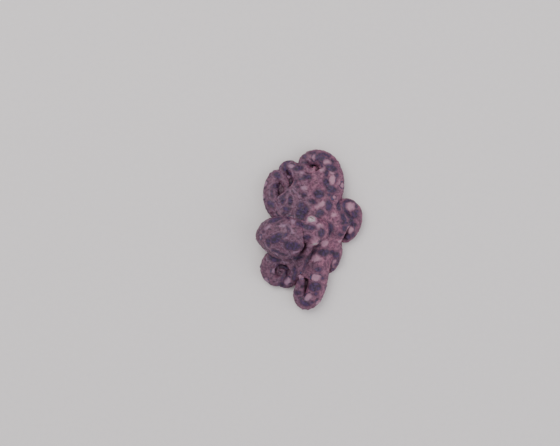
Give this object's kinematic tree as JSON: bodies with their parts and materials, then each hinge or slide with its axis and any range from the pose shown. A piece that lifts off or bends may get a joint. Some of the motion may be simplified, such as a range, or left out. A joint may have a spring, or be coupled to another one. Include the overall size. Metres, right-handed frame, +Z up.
{
  "type": "blue-ringed octopus model",
  "caption": "Life-size still model of a small ringed octopus huddled on the floor, its suckered arms curled close around the head.",
  "frame": {"origin": "on the floor under the middle of the animal's plan", "axes": "+Z up; the head faces +X and the bag of the body lies towards -X; +Y is the animal's left, the top of the picture; the longest spread of the arms runs along Y"},
  "size_m": [0.0448, 0.0676, 0.0178],
  "materials": {
    "skin": "soft wet skin, glossy, tan with dark rings",
    "web": "soft wet skin, glossy, brown",
    "eye": "clear wet eye over gold and black"
  },
  "bodies": {
    "root": {"mantle": "skin", "head": "skin", "eye_left": "eye", "eye_right": "eye", "siphon": "skin", "arm_crown": "web", "arm_left_1_near": "skin", "arm_left_1_middle": "skin", "arm_left_1_tip": "skin", "arm_left_2_near": "skin", "arm_left_2_middle": "skin", "arm_left_2_tip": "skin", "arm_left_3_near": "skin", "arm_left_3_middle": "skin", "arm_left_3_tip": "skin", "arm_left_4_near": "skin", "arm_left_4_middle": "skin", "arm_left_4_tip": "skin", "arm_right_4_near": "skin", "arm_right_4_middle": "skin", "arm_right_4_tip": "skin", "arm_right_3_near": "skin", "arm_right_3_middle": "skin", "arm_right_3_tip": "skin", "arm_right_2_near": "skin", "arm_right_2_middle": "skin", "arm_right_2_tip": "skin", "arm_right_1_near": "skin", "arm_right_1_middle": "skin", "arm_right_1_tip": "skin"}
  },
  "joints": []
}
